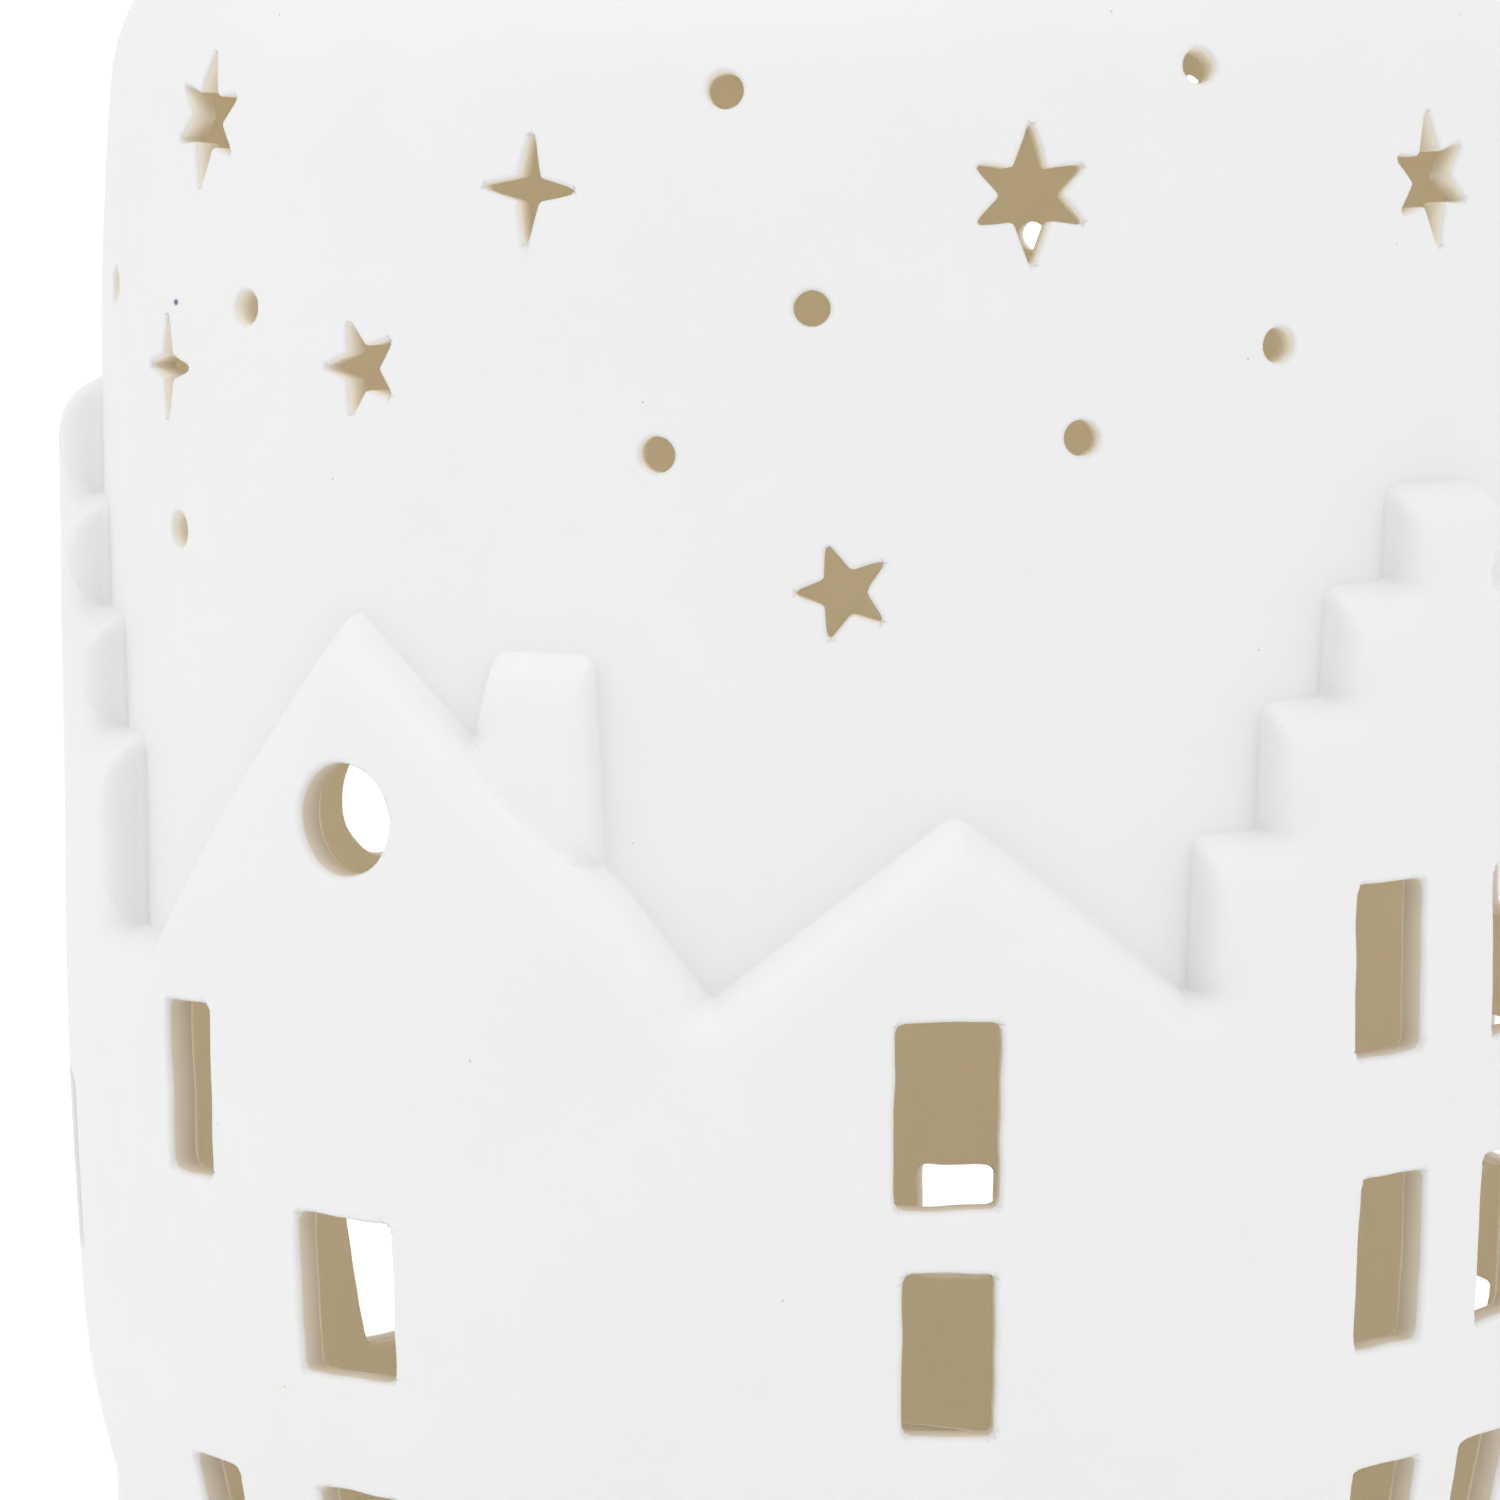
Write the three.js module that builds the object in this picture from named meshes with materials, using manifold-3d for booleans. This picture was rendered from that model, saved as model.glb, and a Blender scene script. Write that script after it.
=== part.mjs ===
// Porcelain tealight holder: a pierced hood with a raised town of gabled houses around it, standing
// on a low dish that holds a tealight. Millimetres, +Z up, origin at the centre of the dish's foot.
// Angles are degrees around the hood, from its front (-Y) towards +X; heights are above the table.
import * as THREE from 'three';
import { mergeVertices } from 'three/addons/utils/BufferGeometryUtils.js';
import Module from 'manifold-3d';

// Hood walls
const SKY_RADIUS = 52.2;
const HOUSE_RADIUS = 55.3;
const CHIMNEY_RADIUS = 54;
const SKY_WALL = 2.0;
const HOUSE_WALL = 2.4;
const MOUTH_HEIGHT = 5.3;
const EDGE_ROUND = 1.2;
const MAX_COLUMN_STEP = 7.5;
const INNER_LEDGE = [55.5, 58];

// Hood curves, from the foot up: foot arc, slow arc, upright wall, lean, shoulder arc, domed crown
const FOOT_TOP = 31;
const FOOT_ARC_RADIUS = 50;
const WALL_BOTTOM = 58.5;
const SLOW_ARC_RADIUS = 420;
const LEAN_START = 100;
const SHOULDER_START = 116.5;
const SHOULDER_RADIUS = 16;
const SHOULDER_CENTRE = [35.4, 115.3];
const SHOULDER_END_DEG = 86;
const CROWN_RISE = 1.3;
const VENT_RADIUS = 6;

// The town's roofs: every house in order, each as [degrees, height] from its left to its right
const EAVES = 60.2;
const STEP_DRAFT_DEG = 0.4;
const ROOFS = [
    ...steppedGable(-85.2, [21.3, 16.3, 10.6, 5.3], [73.2, 81, 88.4, 96.3]),
    [-58.4, EAVES], [-36.1, 83.9], [-15, 67.1], [-9, EAVES], [7.6, 72], [24.2, EAVES],
    ...steppedGable(46.3, [21.9, 16.5, 11.1, 5.3], [70.0, 78.2, 85.3, 91.4]),
    [68.4, EAVES], [84, 74], [100, EAVES],
    ...steppedGable(122, [21.8, 16.5, 11, 5.5], [71, 79, 86.5, 94]),
    [144.4, EAVES], [171, 85], [199, EAVES], [222.2, 82], [250.2, EAVES],
];

// Chimneys, set back from the roofs in front of them: [degrees at its foot, top, top, foot, height]
const CHIMNEYS = [[-26.2, -24.7, -17.2, -16.5, 81.6], [177.4, 178, 185, 185.6, 86]];

// Square windows: [degrees, width, bottom, top]
const WINDOWS = [
    [-78.5, 5.8, 36, 48], [-91.9, 5.8, 36, 48], [-91.9, 5.8, 17, 28],
    [-51.2, 5.1, 45.6, 57.1], [-35.7, 7.9, 34.2, 44.7], [-50.6, 5.2, 16, 26.2], [-35.5, 6.8, 16, 26.5],
    [6.8, 6.7, 47.4, 59.3], [7, 6.0, 32.9, 43.4], [7.1, 6.2, 15.5, 25.5],
    [39.4, 5.9, 55.2, 66.4], [40.2, 5.9, 36, 47.3], [41, 5.9, 16.5, 28],
    [53.2, 5.9, 55.2, 66.4], [52.6, 5.9, 36, 47.3], [52, 5.9, 16.5, 28],
    [84, 6.2, 47.5, 59], [84, 6.2, 31, 41],
    [112.5, 5.6, 55, 66], [112.5, 5.6, 36, 47], [112.5, 5.6, 16, 27],
    [135.5, 5.6, 55, 66], [135.5, 5.6, 36, 47], [135.5, 5.6, 16, 27],
    [169.7, 6.0, 20.2, 29.1], [157, 5.2, 38, 48], [186, 5.2, 38, 48], [170.6, 6.4, 52, 62],
    [224.6, 7.0, 18.3, 30], [211, 5.4, 38, 48], [238, 5.4, 38, 48],
];

// Round windows and sky dots: [degrees, height]
const ROUND_WINDOW_RADIUS = 3.65;
const ROUND_WINDOWS = [[-35.1, 70.5], [-85.2, 83], [122, 82], [171, 73]];
const LARGE_ROUND_WINDOW = [222.2, 61.1];
const LARGE_ROUND_WINDOW_RADIUS = 4.85;
const DOT_RADIUS = 1.15;
const DOTS = [
    [-8.2, 116.5], [25.5, 118], [-47.7, 102.5], [-2.2, 103.2], [-12.8, 94.1], [16.4, 95.1], [31.5, 100.6],
    [-57.2, 87.6], [-71.6, 103.3], [162.8, 104.7], [147.4, 116.4],
    [62, 104], [71, 87], [88, 116.5], [93, 99], [109, 101], [131, 112], [157, 93],
    [172, 115], [196, 94], [203, 115], [222, 106], [240, 97], [252, 112], [268, 107],
];

// Stars: [degrees, height, lean in degrees]
const SIX_POINT = { long: 4.4, side: 3.84, sideAngle: 62, valley: 1.95, valleyAngle: 35 };
const FOUR_POINT = { upright: 3.57, across: 3.2, valley: 1.1 };
const FIVE_POINT = { tip: 3.0, valley: 1.5 };
const SIX_POINT_STARS = [[12.8, 110.1, 0], [-53.8, 114.5, 6], [46.8, 110.8, -6], [100, 110, -5],
    [186, 106.5, 6], [262, 114, -4]];
const FOUR_POINT_STARS = [[-22.3, 110.4, 2], [-58.9, 98.3, 0], [77, 107, 5], [141, 103.5, 0], [232, 113, -6]];
const FIVE_POINT_STARS = [[-35.9, 99, 19], [0, 85.7, 19], [85, 89, 8], [171, 97, 12], [216, 97, 20]];

// Dish
const DISH_RIM_RADIUS = 52.4;
const DISH_RIM_HEIGHT = 9;
const DISH_FLOOR = 5;
const DISH_UNDERSIDE = 2.2;
const FOOT_RING_RADII = [36, 40];
const HOOD_SEAT_RADIUS = 47;
const WELL_RADIUS = 20.6;
const WELL_FLOOR = 2.5;
const WELL_UNDERSIDE = 0.5;

// Tealight
const GAP = 0.3;
const CUP_BASE = WELL_FLOOR + GAP;
const CUP_TOP = 15.8;
const CUP_RADIUS = 19;
const CUP_WALL = 0.5;
const WAX_TOP = 13.6;
const SUSTAINER_RADIUS = 6.6;
const SUSTAINER_SHEET = 0.6;
const NECK_RADIUS = 1.7;
const NECK_HEIGHT = 3.4;
const WICK_RADIUS = 0.8;
const WICK_TIP = 19.4;

const wasm = await Module();
wasm.setup();

const PORCELAIN = new THREE.MeshStandardMaterial({ color: 0xf0f0ee, roughness: 0.75, metalness: 0 });
const GLAZED_PORCELAIN = new THREE.MeshStandardMaterial({ color: 0xefeeea, roughness: 0.4, metalness: 0 });
const ALUMINIUM = new THREE.MeshStandardMaterial({ color: 0xc9cbcd, roughness: 0.3, metalness: 1 });
const STEEL = new THREE.MeshStandardMaterial({ color: 0xa9adb0, roughness: 0.35, metalness: 1 });
const WAX = new THREE.MeshStandardMaterial({ color: 0xf3f0e6, roughness: 0.5, metalness: 0 });
const COTTON = new THREE.MeshStandardMaterial({ color: 0xf1ead8, roughness: 0.95, metalness: 0 });

// ---- outlines -------------------------------------------------------------------------------

// Points of one stepped gable. Half widths run from the eaves inward, each with its ledge's height.
function steppedGable(centre, halfWidths, ledges) {
    const left = [];
    halfWidths.forEach((half, i) => {
        const below = i === 0 ? EAVES : ledges[i - 1];
        left.push([-half, below], [-half + STEP_DRAFT_DEG, ledges[i]]);
    });
    const right = left.map(([angle, height]) => [-angle, height]).reverse();
    return [...left, ...right].map(([angle, height]) => [centre + angle, height]);
}

// Height of the roofs at an angle, straight between their points.
function roofAt(degrees) {
    const start = ROOFS[0][0];
    const closed = [...ROOFS, [start + 360, ROOFS[0][1]]];
    const angle = start + ((((degrees - start) % 360) + 360) % 360);
    const next = closed.findIndex(([a]) => a > angle);
    const [a0, h0] = closed[next - 1];
    const [a1, h1] = closed[next];
    return h0 + ((h1 - h0) * (angle - a0)) / (a1 - a0);
}

// Height of the town at an angle: the roofs, or a chimney where one stands above them.
function skylineAt(degrees) {
    const inTop = CHIMNEYS.find(([, left, right]) => degrees >= left && degrees <= right);
    return inTop ? inTop[4] : roofAt(degrees);
}

// Outer radius of the houses at a height: upright, then the slow arc, then the foot arc.
function houseRadius(height) {
    if (height >= WALL_BOTTOM) return HOUSE_RADIUS;
    const slowDrop = (h) => (WALL_BOTTOM - h) ** 2 / (2 * SLOW_ARC_RADIUS);
    if (height >= FOOT_TOP) return HOUSE_RADIUS - slowDrop(height);
    const below = FOOT_TOP - height;
    const slope = (WALL_BOTTOM - FOOT_TOP) / SLOW_ARC_RADIUS;
    return HOUSE_RADIUS - slowDrop(FOOT_TOP) - slope * below - below ** 2 / (2 * FOOT_ARC_RADIUS);
}

// Crown and shoulder from the vent outwards, [radius, height], moved inwards by the wall for the inside.
function crownProfile(wall) {
    const radius = SHOULDER_RADIUS - wall;
    const [centreRadius, centreHeight] = SHOULDER_CENTRE;
    const start = Math.asin((SHOULDER_START - centreHeight) / SHOULDER_RADIUS);
    const end = THREE.MathUtils.degToRad(SHOULDER_END_DEG);
    const shoulder = [end, end * 0.67, end * 0.35, start].map((angle) => (
        [centreRadius + radius * Math.cos(angle), centreHeight + radius * Math.sin(angle)]
    ));
    const [edgeRadius, edgeHeight] = shoulder[0];
    const dome = [VENT_RADIUS, 22].map((r) => [r, edgeHeight + CROWN_RISE * (1 - (r / edgeRadius) ** 2)]);
    return [...dome, ...shoulder];
}

// The closed section of the hood at one angle. Reversed, it runs down the inside and up the outside.
function hoodProfile(degrees) {
    const roof = roofAt(degrees);
    const top = skylineAt(degrees);
    const footHeights = [FOOT_TOP, 22, 13, MOUTH_HEIGHT];
    const outside = [
        ...crownProfile(0),
        [SKY_RADIUS, LEAN_START],
        [SKY_RADIUS, top],
        [CHIMNEY_RADIUS, top],
        [CHIMNEY_RADIUS, roof],
        [HOUSE_RADIUS - EDGE_ROUND, roof],
        [HOUSE_RADIUS, roof - EDGE_ROUND],
        [HOUSE_RADIUS, WALL_BOTTOM],
        ...footHeights.map((h) => [houseRadius(h), h]),
    ];
    const inside = [
        ...footHeights.reverse().map((h) => [houseRadius(h) - HOUSE_WALL, h]),
        [HOUSE_RADIUS - HOUSE_WALL, INNER_LEDGE[0]],
        [SKY_RADIUS - SKY_WALL, INNER_LEDGE[1]],
        ...crownProfile(SKY_WALL).reverse(),
    ];
    return [...outside, ...inside, outside[0]].reverse();
}

// Angles of the hood's columns: one at each roof or chimney corner, and enough between to look round.
function columnAngles() {
    const chimneys = CHIMNEYS.flatMap((chimney) => chimney.slice(0, 4));
    const corners = [...ROOFS.map(([angle]) => angle), ...chimneys].sort((a, b) => a - b);
    corners.push(corners[0] + 360);
    return corners.slice(0, -1).flatMap((angle, i) => {
        const gap = corners[i + 1] - angle;
        const count = Math.ceil(gap / MAX_COLUMN_STEP);
        return Array.from({ length: count }, (_, k) => angle + (gap * k) / count);
    });
}

// Outline of a star from its tips and valleys, [radius, degrees clockwise from upright] in turn.
function starShape(corners, lean) {
    const points = corners.map(([radius, degrees]) => {
        const angle = THREE.MathUtils.degToRad(degrees + lean);
        return new THREE.Vector2(radius * Math.sin(angle), radius * Math.cos(angle));
    });
    return new THREE.Shape(points);
}

function sixPointStar(lean) {
    const { long, side, sideAngle, valley, valleyAngle } = SIX_POINT;
    const half = [[long, 0], [valley, valleyAngle], [side, sideAngle], [valley, 90],
        [side, 180 - sideAngle], [valley, 180 - valleyAngle]];
    return starShape([...half, ...half.map(([radius, angle]) => [radius, angle + 180])], lean);
}

function fourPointStar(lean) {
    const { upright, across, valley } = FOUR_POINT;
    const half = [[upright, 0], [valley, 45], [across, 90], [valley, 135]];
    return starShape([...half, ...half.map(([radius, angle]) => [radius, angle + 180])], lean);
}

function fivePointStar(lean) {
    const { tip, valley } = FIVE_POINT;
    const corners = Array.from({ length: 5 }, (_, i) => [[tip, 72 * i], [valley, 72 * i + 36]]).flat();
    return starShape(corners, -lean);
}

function roundShape(radius, sides) {
    const corners = Array.from({ length: sides }, (_, i) => [radius, (360 * (i + 0.5)) / sides]);
    return starShape(corners, 0);
}

function windowShape(width, height) {
    const [x, y] = [width / 2, height / 2];
    return new THREE.Shape([[-x, -y], [x, -y], [x, y], [-x, y]].map(([u, v]) => new THREE.Vector2(u, v)));
}

// ---- solids ---------------------------------------------------------------------------------

// A manifold solid from a closed geometry, without the empty triangles that merging leaves.
function toSolid(geometry) {
    geometry.deleteAttribute('normal');
    geometry.deleteAttribute('uv');
    const merged = mergeVertices(geometry, 1e-4);
    const index = merged.index.array;
    const kept = [];
    for (let i = 0; i < index.length; i += 3) {
        const [a, b, c] = index.slice(i, i + 3);
        if (a !== b && b !== c && c !== a) kept.push(a, b, c);
    }
    return new wasm.Manifold(new wasm.Mesh({
        numProp: 3,
        vertProperties: new Float32Array(merged.attributes.position.array),
        triVerts: new Uint32Array(kept),
    }));
}

function toGeometry(solid) {
    const mesh = solid.getMesh();
    const geometry = new THREE.BufferGeometry();
    geometry.setAttribute('position', new THREE.BufferAttribute(mesh.vertProperties, 3));
    geometry.setIndex(new THREE.BufferAttribute(mesh.triVerts, 1));
    geometry.computeVertexNormals();
    return geometry;
}

// A turned solid standing on +Z, from a closed [radius, height] outline.
function turned(outline, segments) {
    const closed = [...outline, outline[0]].map(([radius, height]) => new THREE.Vector2(radius, height));
    const lathe = new THREE.LatheGeometry(closed.reverse(), segments);
    lathe.rotateX(Math.PI / 2);
    return lathe;
}

// The hood without its holes: a lathe whose section follows the skyline around.
function hoodBlank() {
    const angles = columnAngles();
    const first = hoodProfile(angles[0]).map(([radius, height]) => new THREE.Vector2(radius, height));
    const lathe = new THREE.LatheGeometry(first, angles.length);
    const position = lathe.attributes.position;
    for (let column = 0; column <= angles.length; column += 1) {
        const degrees = angles[column % angles.length];
        const angle = THREE.MathUtils.degToRad(degrees);
        hoodProfile(degrees).forEach(([radius, height], row) => {
            const vertex = column * first.length + row;
            position.setXYZ(vertex, radius * Math.sin(angle), -radius * Math.cos(angle), height);
        });
    }
    return toSolid(lathe);
}

// A cutter through the hood's wall, square to it, at an angle and a height.
function radialCutter(shape, degrees, height) {
    const cutter = new THREE.ExtrudeGeometry(shape, { depth: 20, bevelEnabled: false, curveSegments: 1 });
    cutter.rotateX(Math.PI / 2);
    cutter.translate(0, -SKY_RADIUS + 10, height);
    cutter.rotateZ(THREE.MathUtils.degToRad(degrees));
    return toSolid(cutter);
}

function hoodCutters() {
    return [
        ...WINDOWS.map(([a, width, low, high]) => (
            radialCutter(windowShape(width, high - low), a, (low + high) / 2)
        )),
        ...ROUND_WINDOWS.map(([a, h]) => radialCutter(roundShape(ROUND_WINDOW_RADIUS, 16), a, h)),
        radialCutter(roundShape(LARGE_ROUND_WINDOW_RADIUS, 16), ...LARGE_ROUND_WINDOW),
        ...DOTS.map(([a, h]) => radialCutter(roundShape(DOT_RADIUS, 8), a, h)),
        ...SIX_POINT_STARS.map(([a, h, lean]) => radialCutter(sixPointStar(lean), a, h)),
        ...FOUR_POINT_STARS.map(([a, h, lean]) => radialCutter(fourPointStar(lean), a, h)),
        ...FIVE_POINT_STARS.map(([a, h, lean]) => radialCutter(fivePointStar(lean), a, h)),
    ];
}

// ---- parts ----------------------------------------------------------------------------------

function villageHood() {
    return toGeometry(hoodCutters().reduce((hood, cutter) => hood.subtract(cutter), hoodBlank()));
}

// A saucer on a foot ring. Its floor carries the hood's rim and its well locates the tealight.
function baseDish() {
    const [ringInner, ringOuter] = FOOT_RING_RADII;
    return turned([
        [0, WELL_FLOOR], [WELL_RADIUS, WELL_FLOOR], [WELL_RADIUS + 0.8, DISH_FLOOR],
        [HOOD_SEAT_RADIUS, DISH_FLOOR], [DISH_RIM_RADIUS - 2.4, DISH_RIM_HEIGHT - 0.3],
        [DISH_RIM_RADIUS - 1.2, DISH_RIM_HEIGHT], [DISH_RIM_RADIUS, DISH_RIM_HEIGHT - 0.8],
        [DISH_RIM_RADIUS - 3, DISH_FLOOR - 1], [ringOuter + 2, DISH_UNDERSIDE],
        [ringOuter, 0], [ringInner, 0], [ringInner - 1, DISH_UNDERSIDE],
        [WELL_RADIUS + 3, DISH_UNDERSIDE], [WELL_RADIUS + 1.6, WELL_UNDERSIDE], [0, WELL_UNDERSIDE],
    ], 64);
}

// The candle's pressed cup, with its rim rolled outwards.
function tealightCup() {
    const wallFoot = CUP_RADIUS - 0.8;
    const wallTop = CUP_RADIUS - 0.4;
    return turned([
        [0, CUP_BASE + CUP_WALL], [wallFoot - CUP_WALL - 0.4, CUP_BASE + CUP_WALL],
        [wallFoot - CUP_WALL, CUP_BASE + CUP_WALL + 0.5], [wallTop - CUP_WALL, CUP_TOP],
        [CUP_RADIUS, CUP_TOP], [CUP_RADIUS, CUP_TOP - 0.8], [wallTop, CUP_TOP - 1.1],
        [wallFoot, CUP_BASE + 0.8], [wallFoot - 0.8, CUP_BASE], [0, CUP_BASE],
    ], 40);
}

// Wax cast around the sustainer, with a bore for the wick and a slight well around it.
function wax() {
    const bottom = CUP_BASE + CUP_WALL + GAP;
    const discTop = bottom + SUSTAINER_SHEET + GAP;
    const neckTop = bottom + NECK_HEIGHT + GAP;
    const wall = CUP_RADIUS - 0.8 - CUP_WALL - GAP;
    return turned([
        [WICK_RADIUS + GAP, WAX_TOP - 0.7], [4, WAX_TOP - 0.3], [wall - 0.6, WAX_TOP], [wall, WAX_TOP + 0.3],
        [wall, bottom + 0.6], [wall - 0.6, bottom], [SUSTAINER_RADIUS + GAP, bottom],
        [SUSTAINER_RADIUS + GAP, discTop], [NECK_RADIUS + GAP, discTop], [NECK_RADIUS + GAP, neckTop],
        [WICK_RADIUS + GAP, neckTop],
    ], 36);
}

// A pressed steel disc with a neck that grips the wick.
function wickSustainer() {
    const bottom = CUP_BASE + CUP_WALL + GAP;
    const bore = WICK_RADIUS + GAP;
    return turned([
        [bore, bottom + NECK_HEIGHT], [NECK_RADIUS, bottom + NECK_HEIGHT],
        [NECK_RADIUS, bottom + SUSTAINER_SHEET], [SUSTAINER_RADIUS, bottom + SUSTAINER_SHEET],
        [SUSTAINER_RADIUS, bottom], [bore, bottom],
    ], 24);
}

function wick() {
    const bottom = CUP_BASE + CUP_WALL + GAP;
    const cord = new THREE.CylinderGeometry(WICK_RADIUS, WICK_RADIUS, WICK_TIP - bottom, 10);
    cord.rotateX(Math.PI / 2);
    cord.translate(0, 0, (WICK_TIP + bottom) / 2);
    return cord;
}

// ---- assembly -------------------------------------------------------------------------------

const PARTS = [
    ['base_dish', baseDish, GLAZED_PORCELAIN],
    ['village_hood', villageHood, PORCELAIN],
    ['tealight_cup', tealightCup, ALUMINIUM],
    ['tealight_wax', wax, WAX],
    ['wick_sustainer', wickSustainer, STEEL],
    ['wick', wick, COTTON],
];

const tealightHolder = new THREE.Group();
for (const [name, build, material] of PARTS) {
    const mesh = new THREE.Mesh(build(), material);
    mesh.name = name;
    tealightHolder.add(mesh);
}

export default tealightHolder;
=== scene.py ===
"""Looks for the porcelain tealight holder: the pierced hood with its raised town, the dish it stands
on, the candle in it, their materials, and the studio around them.

The hood is laid out on its unrolled wall and then wrapped. Sizes are millimetres there: "across" runs
around the sky wall from a seam at the back, and "up" is the height, which goes on along the shoulder.
Angles are degrees around the hood, from its front (-Y) towards +X."""

import math

import bmesh
import bpy
import numpy as np
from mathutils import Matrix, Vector, noise
from mathutils.geometry import delaunay_2d_cdt


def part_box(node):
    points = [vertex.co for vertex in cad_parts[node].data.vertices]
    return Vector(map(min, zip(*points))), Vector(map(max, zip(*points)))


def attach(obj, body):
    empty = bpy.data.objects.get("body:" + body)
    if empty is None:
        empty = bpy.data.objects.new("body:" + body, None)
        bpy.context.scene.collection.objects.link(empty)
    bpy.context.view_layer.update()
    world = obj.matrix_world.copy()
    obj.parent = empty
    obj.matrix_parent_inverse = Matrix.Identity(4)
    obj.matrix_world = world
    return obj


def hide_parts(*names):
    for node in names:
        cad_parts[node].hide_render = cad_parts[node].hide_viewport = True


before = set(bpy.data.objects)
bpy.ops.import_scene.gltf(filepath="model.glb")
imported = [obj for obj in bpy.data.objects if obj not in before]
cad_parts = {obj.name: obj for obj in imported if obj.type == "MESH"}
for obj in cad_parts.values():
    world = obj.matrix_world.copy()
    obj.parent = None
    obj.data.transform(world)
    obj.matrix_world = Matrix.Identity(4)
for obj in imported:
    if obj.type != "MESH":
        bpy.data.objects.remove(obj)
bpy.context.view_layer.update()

MM = 0.001
noise.seed_set(7)  # noise_vector starts from the clock otherwise

# ---- sizes of the hood, in millimetres ----------------------------------------------------------

SKY_RADIUS = 52.2
HOUSE_RADIUS = 55.3
CHIMNEY_RADIUS = 54.0
SKY_WALL = 2.0
HOUSE_WALL = 2.4
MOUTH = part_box("village_hood")[0][2] / MM
FOOT_TOP = 31.0
FOOT_ARC_RADIUS = 50.0
WALL_BOTTOM = 58.5
SLOW_ARC_RADIUS = 420.0
LEAN_START = 100.0
LEAN = 0.85
SHOULDER_START = 116.5
SHOULDER_RADIUS = 16.0
SHOULDER_CENTRE = (35.4, 115.3)
SHOULDER_SPLIT = math.radians(70)
CROWN_RISE = 1.3
VENT_RADIUS = 6.0

FLANK_WIDTH = 4.2
FLANK_SOFTNESS = 1.1
SIDE_STEEPNESS = 3.2
CORNER_RADIUS = 1.1
NOOK_RADIUS = 0.35
WINDOW_LIP = 0.4
STAR_LIP = 0.22
RIM_RADIUS = 0.9

SEAM = 150.0
PER_DEGREE = SKY_RADIUS * math.pi / 180
GIRTH = 360 * PER_DEGREE
GRID = 2.0
COLUMNS = 240

# ---- the town: every roof in order, [degrees, height] from its left to its right ----------------

EAVES = 60.2
STEP_DRAFT = 0.4


def stepped_gable(centre, half_widths, ledges):
    """Points of one stepped gable. Half widths run from the eaves inward, each with its ledge's height."""
    left = []
    for i, half in enumerate(half_widths):
        below = ledges[i - 1] if i else EAVES
        left += [(-half, below), (-half + STEP_DRAFT, ledges[i])]
    right = [(-angle, height) for angle, height in reversed(left)]
    return [(centre + angle, height) for angle, height in left + right]


ROOFS = [
    *stepped_gable(-85.2, (21.3, 16.3, 10.6, 5.3), (73.2, 81, 88.4, 96.3)),
    *[(-58.4, EAVES), (-36.1, 83.9), (-15, 67.1), (-9, EAVES), (7.6, 72), (24.2, EAVES)],
    *stepped_gable(46.3, (21.9, 16.5, 11.1, 5.3), (70.0, 78.2, 85.3, 91.4)),
    *[(68.4, EAVES), (84, 74), (100, EAVES)],
    *stepped_gable(122, (21.8, 16.5, 11, 5.5), (71, 79, 86.5, 94)),
    *[(144.4, EAVES), (171, 85), (199, EAVES), (222.2, 82), (250.2, EAVES)],
]

# Chimneys, set back from the roofs in front of them: degrees at the foot, top, top, foot, and height
CHIMNEYS = [(-26.2, -24.7, -17.2, -16.5, 81.6), (177.4, 178, 185, 185.6, 86)]

# Square windows: degrees, width, bottom, top
WINDOWS = [
    *[(-78.5, 5.8, 36, 48), (-91.9, 5.8, 36, 48), (-91.9, 5.8, 17, 28)],
    *[(-51.2, 5.1, 45.6, 57.1), (-35.7, 7.9, 34.2, 44.7), (-50.6, 5.2, 16, 26.2), (-35.5, 6.8, 16, 26.5)],
    *[(6.8, 6.7, 47.4, 59.3), (7, 6.0, 32.9, 43.4), (7.1, 6.2, 15.5, 25.5)],
    *[(39.4, 5.9, 55.2, 66.4), (40.2, 5.9, 36, 47.3), (41, 5.9, 16.5, 28)],
    *[(53.2, 5.9, 55.2, 66.4), (52.6, 5.9, 36, 47.3), (52, 5.9, 16.5, 28)],
    *[(84, 6.2, 47.5, 59), (84, 6.2, 31, 41)],
    *[(112.5, 5.6, 55, 66), (112.5, 5.6, 36, 47), (112.5, 5.6, 16, 27)],
    *[(135.5, 5.6, 55, 66), (135.5, 5.6, 36, 47), (135.5, 5.6, 16, 27)],
    *[(169.7, 6.0, 20.2, 29.1), (157, 5.2, 38, 48), (186, 5.2, 38, 48), (170.6, 6.4, 52, 62)],
    *[(224.6, 7.0, 18.3, 30), (211, 5.4, 38, 48), (238, 5.4, 38, 48)],
]

# Round windows: degrees, height, radius. Dots: degrees, height
ROUND_WINDOWS = [
    *[(-35.1, 70.5, 3.65), (-85.2, 83, 3.65), (122, 82, 3.65)],
    *[(171, 73, 3.65), (222.2, 61.1, 4.85)],
]
DOT_RADIUS = 1.15
DOTS = [
    *[(-8.2, 116.5), (25.5, 118), (-47.7, 102.5), (-2.2, 103.2), (-12.8, 94.1), (16.4, 95.1)],
    *[(31.5, 100.6), (-57.2, 87.6), (-71.6, 103.3), (162.8, 104.7), (147.4, 116.4)],
    *[(62, 104), (71, 87), (88, 116.5), (93, 99), (109, 101), (131, 112), (157, 93)],
    *[(172, 115), (196, 94), (203, 115), (222, 106), (240, 97), (252, 112), (268, 107)],
]

# Stars: degrees, height, lean in degrees
SIX_POINT_STARS = [(12.8, 110.1, 0), (-53.8, 114.5, 6), (46.8, 110.8, -6), (100, 110, -5), (186, 106.5, 6),
                   (262, 114, -4)]
FOUR_POINT_STARS = [(-22.3, 110.4, 2), (-58.9, 98.3, 0), (77, 107, 5), (141, 103.5, 0), (232, 113, -6)]
FIVE_POINT_STARS = [(-35.9, 99, 19), (0, 85.7, 19), (85, 89, 8), (171, 97, 12), (216, 97, 20)]


# ---- the wall's section -------------------------------------------------------------------------


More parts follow.
